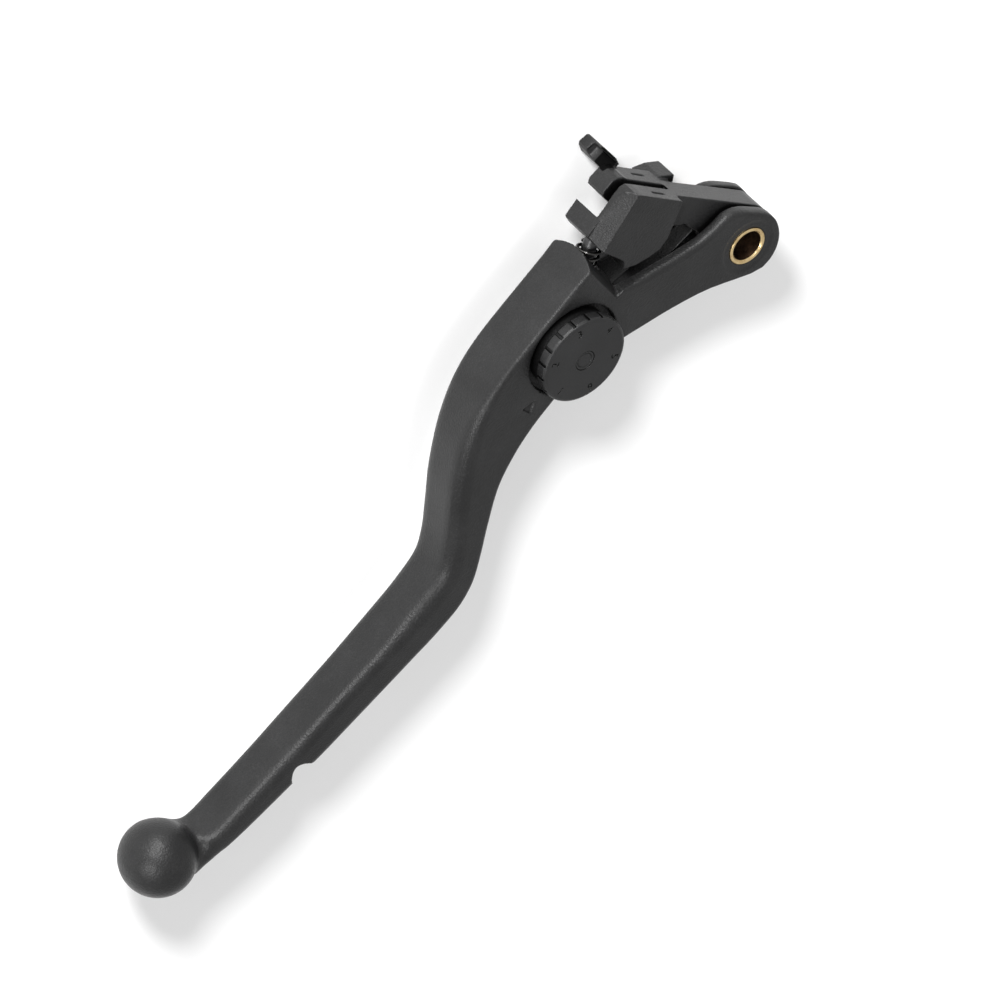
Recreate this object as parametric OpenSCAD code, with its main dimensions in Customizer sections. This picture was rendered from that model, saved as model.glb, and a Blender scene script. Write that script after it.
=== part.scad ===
// Motorcycle clutch lever with a rotary reach adjuster.
// Origin: centre of the pivot bore. X runs along the lever, from the ball end towards the pivot.
// Y points forward, away from the grip. Z is the pivot axis and points to the adjuster dial.

/* [Lever body] */
// Thickness of the lever and of its fork, along the pivot axis
body_t = 14.6; // [13:0.2:16]
// Radius of the ball on the end of the lever
ball_r = 9.5; // [8.5:0.1:9.6]
// Radius of the long edges of the finger blade
blade_r = 3; // [1.5:0.25:3.5]
// Radius of the edges of the hub around the adjuster
hub_r = 1.2; // [0.6:0.2:2]

/* [Pivot] */
// Diameter of the bore for the pivot bolt
bolt_d = 8; // [7:0.5:8.5]
// Outside diameter of the brass pivot bush
bush_d = 10; // [9.5:0.1:10.5]
// Width of the fork between its two ears
fork_gap = 8.5; // [8:0.1:9]
// Thickness of the thrust arm between the ears
arm_t = 6.6; // [6:0.1:6.8]

/* [Adjuster] */
// Diameter of the adjuster dial
dial_d = 23.4; // [23:0.1:23.8]
// Height of the face of the dial above the middle of the lever
dial_top = 11.9; // [11.6:0.1:12.4]
// Number of clicks on the dial
clicks = 6; // [6:1:6]
// Angle the thrust arm swings as the dial turns from its first click to its last
arm_swing = 3.5; // [3:0.25:3.5]

/* [Return spring] */
// Outside diameter of the coil
spring_d = 6.2; // [5.6:0.1:6.4]
// Diameter of the spring wire
spring_wire = 0.9; // [0.7:0.1:1]
// Number of turns
spring_turns = 6; // [5:1:7]

/* [Hidden] */
$fn = 64;
half = body_t / 2;
black = [0.14, 0.14, 0.145];
steel = [0.62, 0.63, 0.65];
eps = 0.01;

// Dial axis, and the levels of its pocket and of the slot for the cam below it
dial_x = -45.4;
dial_y = 22.5;
pocket_r = 12.5;
pocket_z = 5;
slot_h = 2.6;
cam_room = 6.1;
flange_r = 5.8;
shaft_r = 2.2;
clip_z = 1.6;
run_fit = 0.05;

// Spiral cam: smallest radius, rise over the full travel, angle of the steep flank after it, and the gap to the pin
travel = (clicks - 1) * 360 / clicks;
cam_r = 2.8;
cam_rise = -dial_x * sin(arm_swing);
cam_fall = 24;
cam_gap = 0.2;
pin_r = 1.25;
pin_y = dial_y - cam_r - cam_gap - pin_r;

// Return spring: its middle and direction in the plane of the lever
spring_at = [-27, 34.5];
spring_turn = 37;
bore_deep = 5.5;
guide_r = 1.8;
guide_end = 5.6;

// Detent: ball in a blind hole beside the spindle
ball_d = 3;
detent_y = dial_y + 8.4;

// ---------- outline of the lever ----------
ball_at = [-197.8, -4];
boss_r = 9.2;
boss_rise = 4.2;
boss_low = 10.5;
spot_r = 7.2;
spot_deep = 0.25;
face_top = [-27.5, 38.4];
face_low = [-27.4, 23.9];
fork_x = -28.6;
end_r = 12;

// Forward edge, from the neck of the ball to the end face of the hub
front_edge = [[-196, 2.5], [-194, 3], [-192, 2], [-190, -1], [-188.8, -3.8], [-187.6, -6.1], [-185, -7.5], [-180, -7.6], [-165, -7.5], [-150, -6.9], [-130, -6.2],
    [-120, -5.3], [-112, -4.3], [-105, -2.6], [-100, 1.7], [-95, 7.9], [-88, 16.8], [-80, 24.9], [-72, 30.4],
    [-65, 33.3], [-58, 34.8], [-50, 35.9], [-40, 37], face_top];

// Forward edge of the fork, from the end face to the eye of the pivot
fork_edge = [face_low, [-25, 22.3], [-19, 19.4], [-13, 16.5], [-7, 14], [-3, 13.4], [0, 13.4]];

// Rear edge, from the neck of the ball to the eye
rear_edge = [[-196, -12.2], [-194, -13], [-192, -13.3], [-190, -13.8], [-187, -14.2], [-184, -14.7], [-180, -15.3], [-165, -16.4], [-150, -17.2],
    [-120, -16.9], [-110, -15.8], [-105, -14.4], [-100, -11.6], [-95, -7.1], [-88, -0.3],
    [-80, 6.6], [-72, 10.6], [-65, 12.7], [-58, 13.8], [-50, 14.4], [-42, 12.9], [-35, 10.3],
    [-25, 6], [-15, 0.4], [-10, -3.6], [-5, -8], [-2, -10.2], [0, -boss_low]];

// Cubic curve through the points of a list, as y for a given x
function seg(p, x, i = 0) = (i >= len(p) - 2 || x < p[i + 1][0]) ? i : seg(p, x, i + 1);
function slope(p, i) =
    i == 0 ? (p[1][1] - p[0][1]) / (p[1][0] - p[0][0]) :
    i == len(p) - 1 ? (p[i][1] - p[i - 1][1]) / (p[i][0] - p[i - 1][0]) :
    (p[i + 1][1] - p[i - 1][1]) / (p[i + 1][0] - p[i - 1][0]);
function hermite(a, b, ma, mb, w, t) =
    (2 * t^3 - 3 * t^2 + 1) * a + (t^3 - 2 * t^2 + t) * w * ma
    + (3 * t^2 - 2 * t^3) * b + (t^3 - t^2) * w * mb;
function curve(p, x) =
    let (i = seg(p, x), w = p[i + 1][0] - p[i][0], t = (x - p[i][0]) / w)
    hermite(p[i][1], p[i + 1][1], slope(p, i), slope(p, i + 1), w, t);
function ramp(a, b, x) = let (t = min(1, max(0, (x - a) / (b - a)))) t * t * (3 - 2 * t);

function front(x) = x <= face_top[0] ? curve(front_edge, x) : curve(fork_edge, x);
function rear(x) = curve(rear_edge, x);
function lean(a, b) = min(1.7, sqrt(1 + pow((b - a) / 0.4, 2)));
function front_lean(x) = x > face_top[0] - 0.5 && x < face_low[0] + 0.5 ? 1 : lean(front(x - 0.2), front(x + 0.2));
function rear_lean(x) = lean(rear(x - 0.2), rear(x + 0.2));

// Outline of the eye round the pivot: its forward side is drawn out by boss_rise, its rear side is half an ellipse
function eye_r(a) = boss_r + boss_rise * pow(sin(a), 6);

// Half thickness, and the radii of the long edges: the front ones are fuller in the bend and on the ears
blade_half = 6.4;
bend_more = 1;
ear_less = 0.5;
ear_more = 0.9;
function thick(x) = blade_half + (half - blade_half) * ramp(-150, -95, x);
function rear_r(x) = blade_r + (hub_r - blade_r) * ramp(-125, -92, x) - ear_less * ramp(-34, -29, x);
function front_r(x) = blade_r + bend_more * ramp(-130, -112, x) - (blade_r + bend_more - hub_r) * ramp(-84, -54, x)
    - ear_less * ramp(-34, -29, x) + ear_more * ramp(-27, -21, x);

// One cross-section: a rectangle with elliptical corners, as points at the given x
corner_steps = 5;
function corner(x, cy, cz, ry, rz, a) = [for (k = [0:corner_steps])
    let (t = a + 90 * k / corner_steps) [x, cy + ry * cos(t), cz + rz * sin(t)]];
function section(x, f, r, lf, lr) =
    let (h = thick(x), w = f - r, zf = front_r(x), zr = rear_r(x), yf = min(zf * lf, w * 0.5), yr = min(zr * lr, w * 0.4))
    concat(corner(x, f - yf, h - zf, yf, zf, 0), corner(x, r + yr, h - zr, yr, zr, 90),
        corner(x, r + yr, -h + zr, yr, zr, 180), corner(x, f - yf, -h + zf, yf, zf, 270));

// Places of the cross-sections: close together where the outline bends
stations = concat([for (x = [-196:1:-184]) x], [for (x = [-182:3:-116]) x], [for (x = [-114:1.5:-54]) x],
    [for (x = [-52:3:-31]) x], [face_top[0] - eps, face_low[0]], [for (x = [-25:3:-1]) x]);

module loft(list) {
    n = len(list[0]);
    m = len(list);
    polyhedron(
        points = [for (s = list) for (p = s) p],
        faces = concat(
            [[for (i = [0:n - 1]) i]],
            [for (j = [0:m - 2]) for (i = [0:n - 1])
                [j * n + i, (j + 1) * n + i, (j + 1) * n + (i + 1) % n]],
            [for (j = [0:m - 2]) for (i = [0:n - 1])
                [j * n + i, (j + 1) * n + (i + 1) % n, j * n + (i + 1) % n]],
            [[for (i = [n - 1:-1:0]) (m - 1) * n + i]]));
}

// Marker beside the dial: a small triangle that points at it
module marker() {
    translate([dial_x - 16.4, dial_y - 3, half - 0.7])
        rotate(10)
            linear_extrude(1)
                polygon([[1.9, 0], [-1.6, 1.9], [-1.6, -1.9]]);
}

// Slot for the cam and the tail of the thrust arm, open to the rear
module cam_slot() {
    translate([dial_x, dial_y, -slot_h])
        cylinder(r = cam_room, h = 2 * slot_h);
    translate([dial_x - cam_room, -20, -slot_h])
        cube([cam_room - dial_x - 26, dial_y + 20, 2 * slot_h]);
}

module spring_axis() {
    translate([spring_at[0], spring_at[1], 0])
        rotate(spring_turn)
            rotate([0, 90, 0])
                children();
}

// Weakening notch behind the blade, steep towards the ball
module notch() {
    translate([-161, -18.3, -half])
        linear_extrude(body_t)
            polygon([[-2.9, -3], [-2.7, 3.6], [-2.2, 4.8], [-0.9, 6.2], [0.4, 6.8], [1.4, 6.4], [2.6, 5.2],
                [5.2, 0.4], [5.6, -3]]);
}

module lever_body() {
    color(black)
    difference() {
        union() {
            loft(concat([for (x = stations) section(x, front(x), rear(x), front_lean(x), rear_lean(x))],
                [for (a = [84:-7:7])
                    let (x = eye_r(a) * cos(a), f = eye_r(a) * sin(a), r = -boss_low * sqrt(1 - pow(x / boss_r, 2)))
                    section(x, f, r, min(2, 1 / sin(a)), min(2, boss_r / -r))]));
            translate([ball_at[0], ball_at[1], 0])
                sphere(r = ball_r);
        }
        notch();
        // fork between the ears
        translate([fork_x, -30, -fork_gap / 2])
            cube([60, 30 + face_low[1], fork_gap]);
        // rounded end face of the hub, above the fork
        difference() {
            translate([fork_x - 4, face_low[1], -half - 1])
                cube([10, 20, body_t + 2]);
            translate([face_top[0] + eps - end_r, 0, 0])
                rotate([-90, 0, 0])
                    cylinder(r = end_r, h = 60, $fn = 96);
        }
        // pivot bore for the bush
        translate([0, 0, -half - 1])
            cylinder(d = bush_d, h = body_t + 2);
        // spot faces round the bush
        for (z = [half - spot_deep, -half - 1])
            translate([0, 0, z])
                cylinder(r = spot_r, h = 1 + spot_deep);
        // round pocket for the dial
        translate([dial_x, dial_y, pocket_z])
            cylinder(r = pocket_r, h = 10);
        cam_slot();
        // spindle bearing through both cheeks, with a recess for the clip
        translate([dial_x, dial_y, -half - 1])
            cylinder(r = shaft_r + run_fit, h = body_t + 2);
        translate([dial_x, dial_y, 0])
            cylinder(r = flange_r + run_fit, h = body_t);
        translate([dial_x, dial_y, -half - 1])
            cylinder(r = 5.2, h = 1 + clip_z);
        // blind hole for the detent
        translate([dial_x, detent_y, pocket_z - 7])
            cylinder(d = ball_d + 0.2, h = 8);
        // seat of the return spring
        spring_axis()
            translate([0, 0, -3.4 - bore_deep])
                cylinder(d = spring_d + 0.6, h = bore_deep + 6);
        marker();
    }
}

// ---------- pivot ----------
module pivot_bush() {
    color([0.78, 0.62, 0.32])
    difference() {
        translate([0, 0, -half])
            cylinder(d = bush_d, h = body_t);
        translate([0, 0, -half - 1])
            cylinder(d = bolt_d, h = body_t + 2);
    }
}

washer_t = 0.8;
module thrust_washer(z) {
    color(steel)
    translate([0, 0, z])
        difference() {
            cylinder(r = 7.6, h = washer_t);
            translate([0, 0, -1])
                cylinder(r = bush_d / 2 + run_fit, h = washer_t + 2);
        }
}
module upper_washer() thrust_washer((arm_t / 2 + fork_gap / 2 - washer_t) / 2);
module lower_washer() thrust_washer(-(arm_t / 2 + fork_gap / 2 + washer_t) / 2);

// ---------- thrust arm ----------
head_top = 5.8;
head_low = -7.4;
barrel_r = 9;
tine_gap = [-1.5, 0.6];
lean_a = 23.4;

module slab(z0, z1, points) {
    translate([0, 0, z0])
        linear_extrude(z1 - z0)
            polygon(points);
}

// Outline of the head, seen along the pivot axis
head_outline = [[-24.1, 40.9], [-12.8, 43.6], [-10.6, 43.9], [-9.4, 43.2], [-8.6, 41.7], [-3.2, 29], [-3.1, 28.4],
    [-11.6, 23.2], [-14.6, 22.5], [-17.6, 23.4], [-21.2, 25.2], [-23.8, 27.6], [-22.6, 29.2], [-22.9, 31.4],
    [-24.5, 38.2]];
// Web between the head and the barrel
web_outline = [[barrel_r * cos(lean_a), barrel_r * sin(lean_a)], [-3.2, 29], [-9, 36], [-12, 26],
    [-6.4, 18.6], [-5.6, 12.5], [-8.9, 1.5], [0, 0]];
// Tail that reaches under the cam
tail_outline = [[-5.6, 13.5], [-7.4, 5], [-14, 7.4], [-22, 10.6], [-32, 13.6], [-42, 15.6],
    [-48, 16], [-48, 17.2], [-44.5, 18], [-33, 17.4], [-22, 15.6], [-12, 13.6]];

module tabs() {
    // long tab beyond the far tine, with a pocket in its face
    difference() {
        slab(-17.1, head_low + 1, [[-10.4, 40.8], [-9.8, 42.8], [-9.2, 43.6], [-6.8, 43.2], [-6.3, 42.6], [-6.8, 40.2]]);
        translate([-14, 41.6, -11.4])
            cube([7, 6, 6]);
        translate([-14, 46.6, -11.4])
            rotate([90, 0, 90])
                linear_extrude(7)
                    polygon([[-5, -0.5], [-4.6, -1.7], [-3.6, -2.4], [0, -2.4], [0, 1], [-5, 1]]);
    }
    // short tab behind the web
    slab(-11.5, head_low + 2, [[-6, 27.5], [-5.2, 29.1], [-2.3, 26.8], [0.4, 23.1], [-1.4, 21.3], [-4.4, 24.6]]);
    slab(head_low, -2, [[-6, 27.5], [-5.2, 29.1], [-3.2, 28], [-1.6, 24], [-4.4, 24.6]]);
}

module thrust_arm() {
    color(black)
    difference() {
        union() {
            translate([0, 0, -arm_t / 2])
                cylinder(r = barrel_r, h = arm_t);
            slab(-arm_t / 2, arm_t / 2, web_outline);
            slab(-2.2, 2.2, tail_outline);
            translate([dial_x, pin_y, -2.2])
                cylinder(r = pin_r + 0.9, h = 4.4);
            slab(head_low, head_top, head_outline);
            slab(head_low, tine_gap[0], [[-15.2, 40], [-14.6, 43.5], [-13.8, 44], [-10.9, 44.2], [-9.4, 43.4], [-8.4, 42], [-8, 40]]);
            tabs();
        }
        // bore that turns on the pivot bush
        translate([0, 0, -20])
            cylinder(r = bush_d / 2 + run_fit, h = 40);
        // open window behind the near strip
        slab(-30, tine_gap[1], [[-19.4, 50], [-15, 50], [-15, 28], [-19.4, 28]]);
        // slot between the tines, running out into the front surface
        slab(tine_gap[0], tine_gap[1], [[-16, 50], [-3, 50], [-3.4, 27.6], [-7, 33], [-16, 31]]);
        // bevel along the near edge of the head
        translate([-24.8, 37.4, head_top])
            rotate([0, 0, 18.7])
                rotate([30, 0, 0])
                    translate([-4, 0, -5])
                        cube([24, 4, 10]);
        // two narrow slits across the front surface
        for (z = [-4.6, 3.4])
            translate([-5.6, 34.8, z - 0.35])
                rotate(90 + lean_a)
                    translate([-2.2, -1.4, 0])
                        cube([4.4, 2, 0.7]);
        // the cam turns above the follower pin
        translate([dial_x, dial_y, -3])
            cylinder(r = cam_r + cam_gap + 0.55, h = 6);
        // seat of the follower pin
        translate([dial_x, pin_y, -5])
            cylinder(r = pin_r, h = 10);
        // seat of the spring guide
        spring_axis()
            cylinder(r = guide_r, h = guide_end);
    }
}

module follower_pin() {
    color(steel)
    translate([dial_x, pin_y, -2.3])
        cylinder(r = pin_r, h = 4.6);
}

// ---------- return spring ----------
module spring_guide() {
    color(steel)
    spring_axis()
        translate([0, 0, -5])
            cylinder(r = guide_r, h = 5 + guide_end);
}

// Coil swept as a chain of ring sections along a helix
module coil(d, wire, turns, length, per_turn = 20, sides = 8) {
    r = (d - wire) / 2;
    n = turns * per_turn;
    ring = [for (k = [0:sides - 1]) [wire / 2 * cos(360 * k / sides), wire / 2 * sin(360 * k / sides)]];
    loft([for (i = [0:n])
        let (a = 360 * i / per_turn, z = wire / 2 + (length - wire) * i / n)
        [for (q = ring) [(r + q[0]) * cos(a), (r + q[0]) * sin(a), z - q[1]]]]);
}

module return_spring() {
    color([0.2, 0.2, 0.22])
    spring_axis()
        translate([0, 0, -3.4 - bore_deep + 0.1])
            coil(spring_d, spring_wire, spring_turns, 11.2);
}

// ---------- adjuster ----------
dial_low = pocket_z + 0.3;
rim_teeth = 18;
rim_h = 3.4;
drive = 3.6;
drive_top = 8.4;
screw_r = 1.25;
clip_r = 1.5;
cap_r = 2.7;
track_r = detent_y - dial_y;

module adjuster_dial() {
    color(black)
    translate([dial_x, dial_y, 0])
        difference() {
            union() {
                translate([0, 0, dial_low])
                    cylinder(d = dial_d - 1.8, h = dial_top - dial_low - 1);
                translate([0, 0, dial_top - rim_h])
                    rotate_extrude()
                        polygon([[0, 0], [dial_d / 2 - 0.4, 0], [dial_d / 2, 0.4], [dial_d / 2, rim_h - 0.9],
                            [dial_d / 2 - 0.3, rim_h - 0.3], [dial_d / 2 - 0.9, rim_h], [0, rim_h]]);
            }
            // grip notches around the rim
            for (i = [0:rim_teeth - 1])
                rotate((i + 0.5) * 360 / rim_teeth)
                    translate([dial_d / 2 - 0.8, -0.4, dial_top - rim_h - 1])
                        cube([2, 0.8, rim_h + 0.4]);
            // square drive, screw hole and seat of the cap
            translate([-drive / 2 - 0.05, -drive / 2 - 0.05, 0])
                cube([drive + 0.1, drive + 0.1, drive_top]);
            cylinder(r = screw_r + 0.25, h = 20);
            translate([0, 0, drive_top + 0.8])
                cylinder(r = cap_r, h = 5);
            // detent track with a pocket at each click
            translate([0, 0, dial_low - 1])
                difference() {
                    cylinder(r = track_r + 1.5, h = 1.9);
                    translate([0, 0, -1])
                        cylinder(r = track_r - 1.5, h = 4);
                }
            for (i = [0:clicks - 1])
                rotate(90 + i * 360 / clicks)
                    translate([track_r, 0, dial_low])
                        cylinder(r = 1.2, h = 1.5);
        }
}

function cam_angle(p) = (720 - 90 - p) % 360;
function cam_radius(p) = let (a = cam_angle(p))
    cam_r + cam_rise * (a <= travel ? a / travel : max(0, 1 - (a - travel) / cam_fall));

// One-piece spindle: drive square, flange, spiral cam and lower journal
module cam_spindle() {
    color(steel)
    translate([dial_x, dial_y, 0])
        difference() {
            union() {
                translate([0, 0, -half + 0.2])
                    cylinder(r = shaft_r, h = half);
                translate([0, 0, -slot_h + 0.3])
                    linear_extrude(2 * slot_h - 0.2)
                        polygon([for (p = [0:6:354]) cam_radius(p) * [cos(p), sin(p)]]);
                translate([0, 0, slot_h + 0.1])
                    cylinder(r = flange_r, h = pocket_z - slot_h);
                translate([-drive / 2, -drive / 2, pocket_z])
                    cube([drive, drive, drive_top - 0.15 - pocket_z]);
            }
            // groove for the clip
            translate([0, 0, -half + 0.6])
                difference() {
                    cylinder(r = 4, h = 0.7);
                    cylinder(r = clip_r, h = 0.7);
                }
            // hole for the screw
            translate([0, 0, drive_top - 5])
                cylinder(r = screw_r, h = 6);
        }
}

module spindle_washer() {
    color(steel)
    translate([dial_x, dial_y, -half + clip_z - 0.35])
        difference() {
            cylinder(r = 4.6, h = 0.3);
            translate([0, 0, -1])
                cylinder(r = shaft_r + run_fit, h = 3);
        }
}

module spindle_clip() {
    color([0.25, 0.25, 0.27])
    translate([dial_x, dial_y, -half + 0.65])
        difference() {
            cylinder(r = 4.2, h = 0.55);
            translate([0, 0, -1])
                cylinder(r = clip_r, h = 3);
            translate([-1.2, -6, -1])
                cube([2.4, 6, 3]);
        }
}

module dial_screw() {
    color([0.25, 0.25, 0.27])
    translate([dial_x, dial_y, 0])
        difference() {
            union() {
                translate([0, 0, drive_top - 4.8])
                    cylinder(r = screw_r, h = 6);
                translate([0, 0, drive_top + 0.8])
                    cylinder(r = 2.4, h = 1.5);
            }
            translate([0, 0, drive_top + 1.3])
                cylinder(r = 1.15, h = 2, $fn = 6);
        }
}

module dial_cap() {
    color(black)
    translate([dial_x, dial_y, dial_top - 0.9])
        cylinder(r = cap_r - 0.06, h = 0.85);
}

module detent_ball() {
    color(steel)
    translate([dial_x, detent_y, pocket_z - 0.35])
        sphere(d = ball_d);
}

module detent_spring() {
    color(steel)
    translate([dial_x, detent_y, pocket_z - 6.9])
        coil(ball_d - 0.2, 0.4, 5, 4.9, 16, 6);
}

lever_body();
pivot_bush();
upper_washer();
lower_washer();
thrust_arm();
follower_pin();
spring_guide();
return_spring();
adjuster_dial();
dial_screw();
dial_cap();
cam_spindle();
spindle_washer();
spindle_clip();
detent_ball();
detent_spring();
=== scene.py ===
import math

import bmesh
import bpy
from mathutils import Matrix, Vector


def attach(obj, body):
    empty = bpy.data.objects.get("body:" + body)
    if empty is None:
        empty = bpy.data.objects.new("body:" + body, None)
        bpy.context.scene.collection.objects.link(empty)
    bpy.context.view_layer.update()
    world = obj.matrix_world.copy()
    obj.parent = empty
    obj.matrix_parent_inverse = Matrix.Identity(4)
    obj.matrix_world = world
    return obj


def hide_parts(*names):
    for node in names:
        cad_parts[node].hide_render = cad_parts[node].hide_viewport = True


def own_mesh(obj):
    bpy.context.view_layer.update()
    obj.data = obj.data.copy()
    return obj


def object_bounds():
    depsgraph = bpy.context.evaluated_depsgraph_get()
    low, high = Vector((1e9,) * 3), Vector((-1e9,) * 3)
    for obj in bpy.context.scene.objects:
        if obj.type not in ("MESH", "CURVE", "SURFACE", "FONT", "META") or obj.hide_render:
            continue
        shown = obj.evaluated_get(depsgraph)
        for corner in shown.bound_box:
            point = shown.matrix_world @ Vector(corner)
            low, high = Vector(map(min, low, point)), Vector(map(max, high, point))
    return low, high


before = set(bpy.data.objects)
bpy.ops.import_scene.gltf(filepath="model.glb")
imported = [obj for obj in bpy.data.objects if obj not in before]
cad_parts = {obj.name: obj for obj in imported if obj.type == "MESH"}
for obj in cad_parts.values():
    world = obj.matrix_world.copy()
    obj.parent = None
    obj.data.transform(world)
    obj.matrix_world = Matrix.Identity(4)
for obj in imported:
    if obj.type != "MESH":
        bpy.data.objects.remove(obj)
cad_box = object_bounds()
MM = 0.001

# Places and sizes repeated from part.scad, in millimetres and radians
BODY_HALF = 7.3
BUSH_R = 5.0
BORE_R = 4.0
DIAL = (-45.4, 22.5)
DIAL_TOP = 11.9
CLICKS = 6
BALL = (-197.8, -4, 0)
BALL_R = 9.5
SPRING_AT = (-27.0, 34.5)
SPRING_TURN = math.radians(37)
SPRING_BACK = 8.8

# Scoop beside the ball, which only the visual model has: its place from the ball's centre, tilted about X
SCOOP_AT = (7.6, 3.2, 0)
SCOOP_R = 4
SCOOP_TILT = math.radians(36)

# Pocket in the arm's long tab, whose faces are coloured near black as painted shade: its sides along X and
# Z, and its start along Y
TAB_X = (-10.8, -5.5)
TAB_Y = 40.5
TAB_Z = (-11.3, -5.6)

# Angle of the number 1 on the dial, in degrees
FIRST_NUMBER = -173


# ---------- materials ----------
class Shader:
    """A Principled material with small helpers for its procedural detail, in object coordinates."""

    def __init__(self, name, **fixed):
        self.mat = bpy.data.materials.new(name)
        self.mat.use_nodes = True
        self.tree = self.mat.node_tree
        self.bsdf = self.tree.nodes["Principled BSDF"]
        self.co = self.add("ShaderNodeTexCoord").outputs["Object"]
        for key, value in fixed.items():
            self.bsdf.inputs[key.replace("_", " ")].default_value = value

    def add(self, kind, **values):
        node = self.tree.nodes.new(kind)
        for key, value in values.items():
            setattr(node, key, value)
        return node

    def link(self, a, b):
        self.tree.links.new(a, b)

    def noise(self, size_mm, detail=2.0, rough=0.5):
        n = self.add("ShaderNodeTexNoise")
        n.inputs["Scale"].default_value = 1 / (size_mm * MM)
        n.inputs["Detail"].default_value = detail
        n.inputs["Roughness"].default_value = rough
        self.link(self.co, n.inputs["Vector"])
        return n.outputs["Fac"]

    def cells(self, size_mm):
        n = self.add("ShaderNodeTexVoronoi", feature="SMOOTH_F1")
        n.inputs["Scale"].default_value = 1 / (size_mm * MM)
        n.inputs["Smoothness"].default_value = 0.6
        self.link(self.co, n.inputs["Vector"])
        return n.outputs["Distance"]

    def remap(self, value, lo, hi, to_lo, to_hi):
        n = self.add("ShaderNodeMapRange")
        for i, v in zip((1, 2, 3, 4), (lo, hi, to_lo, to_hi)):
            n.inputs[i].default_value = v
        self.link(value, n.inputs[0])
        return n.outputs[0]

    def math(self, kind, a, b):
        n = self.add("ShaderNodeMath", operation=kind)
        for i, v in enumerate((a, b)):
            if isinstance(v, (int, float)):
                n.inputs[i].default_value = v
            else:
                self.link(v, n.inputs[i])
        return n.outputs[0]

    def mixed(self, a, share, b):
        """Share of a, and the rest of b."""
        return self.math("ADD", self.math("MULTIPLY", a, share), self.math("MULTIPLY", b, 1 - share))

    def ramp(self, value, stops):
        n = self.add("ShaderNodeValToRGB")
        for end, (at, colour) in zip((0, 1), (stops[0], stops[-1])):
            n.color_ramp.elements[end].position = at
            n.color_ramp.elements[end].color = (*colour, 1)
        for at, colour in stops[1:-1]:
            n.color_ramp.elements.new(at).color = (*colour, 1)
        self.link(value, n.inputs["Fac"])
        return n.outputs["Color"]

    def bump(self, height, distance_mm, strength=1.0, under=None):
        n = self.add("ShaderNodeBump")
        n.inputs["Distance"].default_value = distance_mm * MM
        n.inputs["Strength"].default_value = strength
        self.link(height, n.inputs["Height"])
        if under is not None:
            self.link(under, n.inputs["Normal"])
        return n.outputs["Normal"]

    def with_painted_shade(self, colour, reach_mm, dark=0.05):
        """Painted shade: colour darkened where other surfaces stand within reach, which makes recesses
        nearly black.
        """
        openness = self.add("ShaderNodeAmbientOcclusion", samples=8)
        openness.inputs["Distance"].default_value = reach_mm * MM
        level = self.remap(openness.outputs["AO"], 0.4, 0.8, dark, 1.0)
        mix = self.add("ShaderNodeMix", data_type="RGBA", blend_type="MULTIPLY")
        mix.inputs["Factor"].default_value = 1.0
        self.link(colour, mix.inputs[6])
        self.link(level, mix.inputs[7])
        return mix.outputs[2]

    def set(self, **links):
        for key, value in links.items():
            self.link(value, self.bsdf.inputs[key.replace("_", " ")])
        return self.mat


# Size of the mottling of a grainy finish, and how far off a surface may stand and still darken it with
# painted shade
MOTTLE_MM = 9
PAINTED_SHADE_REACH_MM = 6


def powder_coat(name, dark, light, grain_mm, depth_mm, rough, gloss=0.36):
    """A grainy finish, painted or moulded: rounded grains, faint mottling, an uneven gloss, and painted
    shade in its recesses.
    """
    s = Shader(name, IOR=1.5, Specular_IOR_Level=gloss)
    grain = s.cells(grain_mm)
    fine = s.noise(grain_mm * 0.55, 3, 0.6)
    broad = s.noise(MOTTLE_MM, 3, 0.55)
    middle = [a * 0.7 + b * 0.3 for a, b in zip(dark, light)]
    colour = s.ramp(s.mixed(broad, 0.3, fine), [(0.36, dark), (0.5, middle), (0.66, light)])
    height = s.math("ADD", grain, s.math("MULTIPLY", fine, 0.5))
    # The base colour carries painted shade, darker in recesses
    return s.set(
        Base_Color=s.with_painted_shade(colour, PAINTED_SHADE_REACH_MM),
        Roughness=s.remap(s.mixed(fine, 0.6, broad), 0.3, 0.7, rough - 0.05, rough + 0.07),
        Normal=s.bump(height, depth_mm, 0.75),
    )


def turned_metal(name, dark, light, rough, centre=(0, 0), ring_mm=0.16, depth_mm=0.006):
    """Lathe-turned metal: fine rings about an axis along Z, and light staining."""
    s = Shader(name, Metallic=1.0)
    move = s.add("ShaderNodeVectorMath", operation="SUBTRACT")
    move.inputs[1].default_value = (centre[0] * MM, centre[1] * MM, 0)
    s.link(s.co, move.inputs[0])
    split = s.add("ShaderNodeSeparateXYZ")
    s.link(move.outputs[0], split.inputs[0])
    x, y, z = split.outputs
    radius = s.math("SQRT", s.math("ADD", s.math("MULTIPLY", x, x), s.math("MULTIPLY", y, y)), 0)
    along = s.math("ADD", radius, z)
    rings = s.math("SINE", s.math("MULTIPLY", along, 2 * math.pi / (ring_mm * MM)), 0)
    stain = s.noise(1.6, 4, 0.6)
    fine = s.noise(0.12, 2, 0.5)
    return s.set(
        Base_Color=s.ramp(stain, [(0.3, dark), (0.7, light)]),
        Roughness=s.remap(s.mixed(stain, 0.6, fine), 0.3, 0.7, rough, rough + 0.14),
        Normal=s.bump(rings, depth_mm, 0.5, s.bump(fine, depth_mm, 0.4)),
    )


def drawn_wire(name, dark, light, rough):
    """Oil-tempered spring wire: dark and glossy with faint draw marks."""
    s = Shader(name, Metallic=1.0, Coat_Weight=0.35, Coat_Roughness=0.12)
    marks = s.noise(0.35, 4, 0.65)
    return s.set(
        Base_Color=s.ramp(marks, [(0.35, dark), (0.65, light)]),
        Roughness=s.remap(marks, 0.3, 0.7, rough, rough + 0.12),
        Normal=s.bump(marks, 0.01, 0.5),
    )


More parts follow.
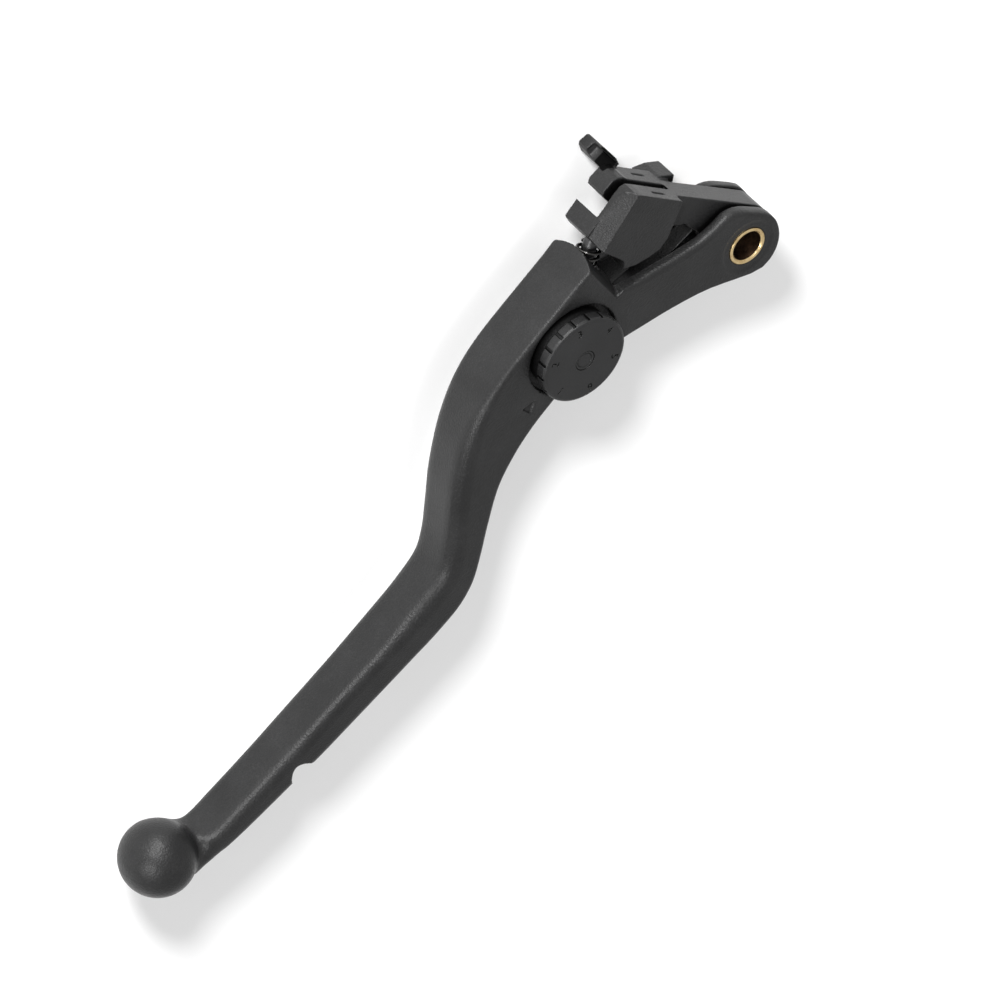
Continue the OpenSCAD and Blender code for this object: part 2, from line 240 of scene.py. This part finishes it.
COAT = powder_coat("black_powder_coat", (0.004, 0.004, 0.0041), (0.0165, 0.0165, 0.0168),
                   grain_mm=0.45, depth_mm=0.08, rough=0.4)
MOULDED = powder_coat("black_glass_filled_nylon", (0.006, 0.006, 0.0062), (0.0155, 0.0155, 0.016),
                      grain_mm=0.3, depth_mm=0.035, rough=0.44)
# Near-black painted shade for the faces of the pocket in the arm's tab
POCKET_SHADE = powder_coat("pocket_painted_shade", (0.001, 0.001, 0.001), (0.004, 0.004, 0.004),
                     grain_mm=0.4, depth_mm=0.05, rough=0.75, gloss=0.03)
WASHER = powder_coat("bearing_polymer", (0.03, 0.03, 0.03), (0.06, 0.058, 0.055),
                     grain_mm=0.25, depth_mm=0.01, rough=0.42)
BRASS = turned_metal("turned_brass", (0.70, 0.50, 0.24), (0.86, 0.68, 0.38), 0.24)
# Dark brown painted shade for the inside of the brass bush's bore
BORE_SHADE = turned_metal("bush_bore_painted_shade", (0.035, 0.02, 0.012), (0.085, 0.05, 0.03), 0.42)
ZINC = turned_metal("zinc_plated_steel", (0.42, 0.43, 0.44), (0.64, 0.64, 0.65), 0.3, DIAL)
# Near-black steel for the spring guide, as painted shade in the gap round the spring
GUIDE_SHADE_STEEL = turned_metal("spring_guide_painted_shade", (0.05, 0.05, 0.052), (0.1, 0.1, 0.1), 0.34)
BLACK_STEEL = turned_metal("black_oiled_steel", (0.035, 0.035, 0.038), (0.075, 0.073, 0.07), 0.34, DIAL)
SPRING = drawn_wire("spring_wire", (0.03, 0.029, 0.028), (0.08, 0.078, 0.075), 0.2)


# ---------- meshes ----------
def link_mesh(name, mesh, mat, smooth_deg=35):
    obj = bpy.data.objects.new(name, mesh)
    bpy.context.scene.collection.objects.link(obj)
    mesh.materials.clear()
    mesh.materials.append(mat)
    mesh.shade_smooth()
    if smooth_deg:
        mesh.set_sharp_from_angle(angle=math.radians(smooth_deg))
    return obj


def copy_of(node):
    """A welded copy of a CAD node's mesh."""
    bm = bmesh.new()
    bm.from_mesh(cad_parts[node].data)
    bmesh.ops.remove_doubles(bm, verts=bm.verts, dist=1e-6)
    mesh = bpy.data.meshes.new(node + "_mesh")
    bm.to_mesh(mesh)
    bm.free()
    for name in ("custom_normal", "sharp_edge", "sharp_face"):
        if name in mesh.attributes:
            mesh.attributes.remove(mesh.attributes[name])
    return mesh


def applied(obj):
    """Turns obj's modifiers into plain mesh."""
    graph = bpy.context.evaluated_depsgraph_get()
    mesh = bpy.data.meshes.new_from_object(obj.evaluated_get(graph), depsgraph=graph)
    obj.modifiers.clear()
    obj.data = mesh
    return obj


def stands_for(obj, node, body):
    """Puts obj on its body in place of a CAD node."""
    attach(obj, body)
    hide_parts(node)
    return obj


def cast(node, name, body, mat, voxel_mm, rounds, cutter=None, blend=None):
    """A cast or moulded piece: the CAD shape with every edge softened.

    blend gives a place along X, the reach to each side of it, and the rounds of extra smoothing there.
    """
    obj = link_mesh(name, copy_of(node), mat, 0)
    if cutter is not None:
        cut = obj.modifiers.new("cut", "BOOLEAN")
        cut.operation, cut.solver, cut.object = "DIFFERENCE", "EXACT", cutter
    voxels = obj.modifiers.new("voxels", "REMESH")
    voxels.mode, voxels.voxel_size, voxels.use_smooth_shade = "VOXEL", voxel_mm * MM, True
    soft = obj.modifiers.new("soften", "SMOOTH")
    soft.factor, soft.iterations = 0.5, rounds
    applied(obj)
    if blend is not None:
        middle, reach, more = blend
        group = obj.vertex_groups.new(name="blend")
        for v in obj.data.vertices:
            away = abs(v.co.x / MM - middle) / reach
            if away < 1:
                group.add([v.index], min(1.0, 2 * (1 - away)), "REPLACE")
        soft = obj.modifiers.new("blend", "SMOOTH")
        soft.factor, soft.iterations, soft.vertex_group = 0.5, more, "blend"
        applied(obj)
    obj.data.materials.clear()
    obj.data.materials.append(mat)
    obj.data.shade_smooth()
    return stands_for(obj, node, body)


BEVEL_MM = 0.08


def machined(node, name, body, mat):
    """A machined piece: the CAD shape with a small bevel on its edges."""
    obj = link_mesh(name, copy_of(node), mat, 35)
    bevel = obj.modifiers.new("bevel", "BEVEL")
    bevel.width, bevel.segments, bevel.limit_method = BEVEL_MM * MM, 2, "ANGLE"
    bevel.angle_limit, bevel.harden_normals = math.radians(35), True
    applied(obj)
    return stands_for(obj, node, body)


def turned(name, centre, profile, mat, steps=128):
    """A closed lathe profile of (radius, height) in mm, turned about an axis along Z."""
    bm = bmesh.new()
    rows = []
    for k in range(steps):
        a = 2 * math.pi * k / steps
        row = [(centre[0] + r * math.cos(a), centre[1] + r * math.sin(a), z) for r, z in profile]
        rows.append([bm.verts.new([c * MM for c in point]) for point in row])
    for k in range(steps):
        here, there = rows[k], rows[(k + 1) % steps]
        for i in range(len(profile)):
            j = (i + 1) % len(profile)
            bm.faces.new((here[i], there[i], there[j], here[j]))
    bmesh.ops.remove_doubles(bm, verts=bm.verts, dist=1e-7)
    bmesh.ops.recalc_face_normals(bm, faces=bm.faces)
    mesh = bpy.data.meshes.new(name)
    bm.to_mesh(mesh)
    bm.free()
    return link_mesh(name, mesh, mat, 32)


def arc(cr, cz, radius, a0, a1, steps=5):
    """Points of an arc in a lathe profile, from angle a0 to a1 in degrees."""
    angles = [math.radians(a0 + (a1 - a0) * i / steps) for i in range(steps + 1)]
    return [(cr + radius * math.cos(a), cz + radius * math.sin(a)) for a in angles]


def coil(name, place, diameter, wire, turns, length, mat, dead=0.8, per_turn=40, sides=14):
    """A compression spring with closed ends, swept along its helix. place takes it to its seat, in mm."""
    radius, rise = (diameter - wire) / 2, length - wire
    steps = int(turns * per_turn)

    def pace(t):
        """How fast the wire climbs at turn t, which is slowly in the closed turns at each end."""
        return min(1.0, 0.32 + max(0.0, min(t, turns - t) - dead * 0.4) * 1.3)

    heights = [0.0]
    for i in range(steps):
        heights.append(heights[-1] + pace((i + 0.5) / per_turn))
    heights = [wire / 2 + rise * h / heights[-1] for h in heights]
    angles = [2 * math.pi * i / per_turn for i in range(steps + 1)]
    line = [Vector((radius * math.cos(a), radius * math.sin(a), z)) for a, z in zip(angles, heights)]
    round_wire = [2 * math.pi * k / sides for k in range(sides)]
    bm = bmesh.new()
    rings = []
    for i, p in enumerate(line):
        ahead = (line[min(i + 1, steps)] - line[max(i - 1, 0)]).normalized()
        out = Vector((p.x, p.y, 0)).normalized()
        side = ahead.cross(out).normalized()
        out = side.cross(ahead).normalized()
        ring = [p + (out * math.cos(a) + side * math.sin(a)) * wire / 2 for a in round_wire]
        rings.append([bm.verts.new((place @ point) * MM) for point in ring])
    for a, b in zip(rings, rings[1:]):
        for k in range(sides):
            bm.faces.new((a[k], a[(k + 1) % sides], b[(k + 1) % sides], b[k]))
    bm.faces.new(rings[0])
    bm.faces.new(rings[-1])
    bmesh.ops.recalc_face_normals(bm, faces=bm.faces)
    mesh = bpy.data.meshes.new(name)
    bm.to_mesh(mesh)
    bm.free()
    return link_mesh(name, mesh, mat, 50)


def numerals(radius, height, depth):
    """The numbers round the dial, as one cutter mesh."""
    parts = []
    for i in range(CLICKS):
        angle = math.radians(FIRST_NUMBER - 360 / CLICKS * i)
        text = bpy.data.curves.new(f"number_{i}", "FONT")
        text.body, text.size = str(i + 1), height * MM
        text.align_x, text.align_y = "CENTER", "CENTER"
        text.extrude, text.resolution_u = depth * MM, 6
        obj = bpy.data.objects.new(f"number_{i}", text)
        bpy.context.scene.collection.objects.link(obj)
        spot = (DIAL[0] + radius * math.cos(angle), DIAL[1] + radius * math.sin(angle), DIAL_TOP)
        stand = Matrix.Translation([c * MM for c in spot])
        obj.matrix_world = stand @ Matrix.Rotation(angle - math.pi / 2, 4, "Z")
        parts.append(obj)
    bpy.context.view_layer.update()
    graph = bpy.context.evaluated_depsgraph_get()
    bm = bmesh.new()
    for obj in parts:
        mesh = bpy.data.meshes.new_from_object(obj.evaluated_get(graph))
        mesh.transform(obj.matrix_world)
        bm.from_mesh(mesh)
    bmesh.ops.remove_doubles(bm, verts=bm.verts, dist=1e-7)
    mesh = bpy.data.meshes.new("numbers")
    bm.to_mesh(mesh)
    bm.free()
    for obj in parts:
        bpy.data.objects.remove(obj)
    cutter = bpy.data.objects.new("numbers", mesh)
    bpy.context.scene.collection.objects.link(cutter)
    return cutter


def scoop():
    """Cutter for the scoop where the blade ends: a rod across its near front edge, less the ball."""
    made = []
    for kind in ("rod", "ball"):
        bm = bmesh.new()
        if kind == "rod":
            size = {"radius1": SCOOP_R * MM, "radius2": SCOOP_R * MM, "depth": 40 * MM}
            bmesh.ops.create_cone(bm, cap_ends=True, segments=64, **size)
            seat = Matrix.Translation(Vector(BALL) * MM) @ Matrix.Rotation(SCOOP_TILT, 4, "X")
            bmesh.ops.transform(bm, verts=bm.verts, matrix=seat @ Matrix.Translation(Vector(SCOOP_AT) * MM))
        else:
            bmesh.ops.create_icosphere(bm, subdivisions=5, radius=BALL_R * MM)
            bmesh.ops.translate(bm, verts=bm.verts, vec=Vector(BALL) * MM)
        mesh = bpy.data.meshes.new(f"scoop_{kind}")
        bm.to_mesh(mesh)
        bm.free()
        obj = bpy.data.objects.new(f"scoop_{kind}", mesh)
        bpy.context.scene.collection.objects.link(obj)
        made.append(obj)
    rod, ball = made
    less = rod.modifiers.new("less", "BOOLEAN")
    less.operation, less.solver, less.object = "DIFFERENCE", "EXACT", ball
    applied(rod)
    bpy.data.objects.remove(ball)
    return rod


# ---------- pieces ----------
cutter = scoop()
cast("lever_body", "lever_casting", "lever", COAT,
     voxel_mm=0.28, rounds=6, cutter=cutter, blend=(-189.8, 4.6, 170))
bpy.data.objects.remove(cutter)
arm = cast("thrust_arm", "thrust_arm_casting", "arm", COAT, voxel_mm=0.2, rounds=4)
# The pocket's faces get the near-black painted shade
arm.data.materials.append(POCKET_SHADE)
for face in arm.data.polygons:
    at = face.center / MM
    in_pocket = TAB_X[0] < at.x < TAB_X[1] and at.y > TAB_Y and TAB_Z[0] < at.z < TAB_Z[1]
    if in_pocket and face.normal.y > 0.2:
        face.material_index = 1

cutter = numerals(radius=9.0, height=3.0, depth=0.4)
cast("adjuster_dial", "adjuster_dial_moulding", "dial", MOULDED,
     voxel_mm=0.1, rounds=2, cutter=cutter)
bpy.data.objects.remove(cutter)

# Half of the bush's profile, from the bore's mouth to its outside, and its mirror image
end = [(BORE_R, 0.35), (4.35, 0), (4.85, 0), (BUSH_R, 0.15)]
profile = [(r, -BODY_HALF + z) for r, z in end] + [(r, BODY_HALF - z) for r, z in end[::-1]]
bush = stands_for(turned("pivot_bush_turned", (0, 0), profile, BRASS), "pivot_bush", "lever")
# Faces of the bore get the dark brown painted shade
bush.data.materials.append(BORE_SHADE)
for face in bush.data.polygons:
    if max(math.hypot(*bush.data.vertices[v].co.xy) for v in face.vertices) < (BORE_R + 0.05) * MM:
        face.material_index = 1

profile = [(0, DIAL_TOP - 0.9), (2.5, DIAL_TOP - 0.9), *arc(2.42, DIAL_TOP - 0.28, 0.2, 0, 90),
           (2.2, DIAL_TOP - 0.08), (1.95, DIAL_TOP - 0.3), (1.7, DIAL_TOP - 0.12), (0, DIAL_TOP - 0.06)]
stands_for(turned("dial_cap_moulding", DIAL, profile, MOULDED), "dial_cap", "dial")

seat = Matrix.Translation((*SPRING_AT, 0)) @ Matrix.Rotation(SPRING_TURN, 4, "Z")
seat = seat @ Matrix.Rotation(math.pi / 2, 4, "Y")
place = seat @ Matrix.Translation((0, 0, -SPRING_BACK))
spring = coil("return_spring_wire", place, diameter=6.2, wire=0.9, turns=6, length=11.2, mat=SPRING)
stands_for(spring, "return_spring", "lever")
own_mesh(spring)

for node, name, body, slot, mat in (
    ("upper_washer", "upper_thrust_washer", "lever", "washer_polymer", WASHER),
    ("lower_washer", "lower_thrust_washer", "lever", "washer_polymer", WASHER),
    ("follower_pin", "follower_pin_ground", "arm", "steel", ZINC),
    # The spring guide's near-black colour is painted shade
    ("spring_guide", "spring_guide_ground", "arm", "steel", GUIDE_SHADE_STEEL),
    ("dial_screw", "dial_screw_blacked", "dial", "dark_steel", BLACK_STEEL),
    ("cam_spindle", "cam_spindle_turned", "dial", "steel", ZINC),
    ("spindle_washer", "spindle_washer_turned", "lever", "steel", ZINC),
    ("spindle_clip", "spindle_clip_blacked", "dial", "dark_steel", BLACK_STEEL),
):
    machined(node, name, body, mat)
for node, mat in (("detent_ball", ZINC), ("detent_spring", SPRING)):
    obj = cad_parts[node]
    obj.data.materials.clear()
    obj.data.materials.append(mat)

# ---------- floor, light and camera ----------
# Half the floor's side, and its gap below the lever, in metres
FLOOR_HALF = 6
FLOOR_GAP = 0.0002
floor_mesh = bpy.data.meshes.new("floor")
bm = bmesh.new()
bmesh.ops.create_grid(bm, x_segments=1, y_segments=1, size=FLOOR_HALF)
bmesh.ops.translate(bm, verts=bm.verts, vec=(0, 0, cad_box[0].z - FLOOR_GAP))
bm.to_mesh(floor_mesh)
bm.free()
paper = Shader("pale_floor", Roughness=0.9, Specular_IOR_Level=0.1)
cloudy = paper.ramp(paper.noise(40, 2), [(0.3, (0.90, 0.90, 0.90)), (0.7, (0.92, 0.92, 0.92))])
link_mesh("floor", floor_mesh, paper.set(Base_Color=cloudy), 0)

world = bpy.data.worlds.new("studio")
bpy.context.scene.world = world
world.use_nodes = True
world.node_tree.nodes["Background"].inputs["Color"].default_value = (1, 1, 1, 1)
world.node_tree.nodes["Background"].inputs["Strength"].default_value = 0.62
bpy.context.scene.view_settings.view_transform = "Standard"


# What the lights point at, in metres
LIT = Vector((-0.08, 0.01, 0))


def softbox(name, toward, distance, size, power):
    """A round area light that faces the middle of the lever from the direction given."""
    light = bpy.data.lights.new(name, "AREA")
    light.shape, light.size, light.energy = "DISK", size, power
    obj = bpy.data.objects.new(name, light)
    bpy.context.scene.collection.objects.link(obj)
    way = Vector(toward).normalized()
    obj.location = LIT + way * distance
    obj.rotation_mode = "QUATERNION"
    obj.rotation_quaternion = way.to_track_quat("Z", "Y")
    return obj


# Key and top light the surfaces and make the shadow, and they leave no highlight. The other three make
# only highlights: the pair on the ball, and the line on the long edges.
softbox("key", (0.083, 0.916, 0.392), 1.6, 0.3, 48).visible_glossy = False
softbox("top", (0.1, 0.1, 1.0), 1.6, 1.2, 5).visible_glossy = False
for name, toward, size, power in (
    ("high", (0.47, 0.86, 0.15), 0.2, 8),
    ("side", (-0.697, 0.503, 0.512), 0.22, 6),
    ("edge", (0.02, 0.92, 0.38), 0.4, 9),
):
    softbox(name, toward, 1.2, size, power).visible_diffuse = False

# The camera's right and up as they lie on the lever, its distance, and the width it sees there, in metres
right = Vector((0.682, -0.430, 0.592)).normalized()
up = Vector((0.731, 0.401, -0.552))
up = (up - right * up.dot(right)).normalized()
back = right.cross(up)
DISTANCE, WIDTH = 4.0, 0.2326
camera = bpy.data.cameras.new("camera")
camera.sensor_width = 36
camera.lens = camera.sensor_width * DISTANCE / WIDTH
camera.clip_start, camera.clip_end = 0.1, 50
cam = bpy.data.objects.new("camera", camera)
bpy.context.scene.collection.objects.link(cam)
aim = Vector((-82.42, 1.16, 5.70)) * MM
turn = Matrix((right, up, back)).transposed().to_4x4()
cam.matrix_world = Matrix.Translation(aim + back * DISTANCE) @ turn
bpy.context.scene.camera = cam
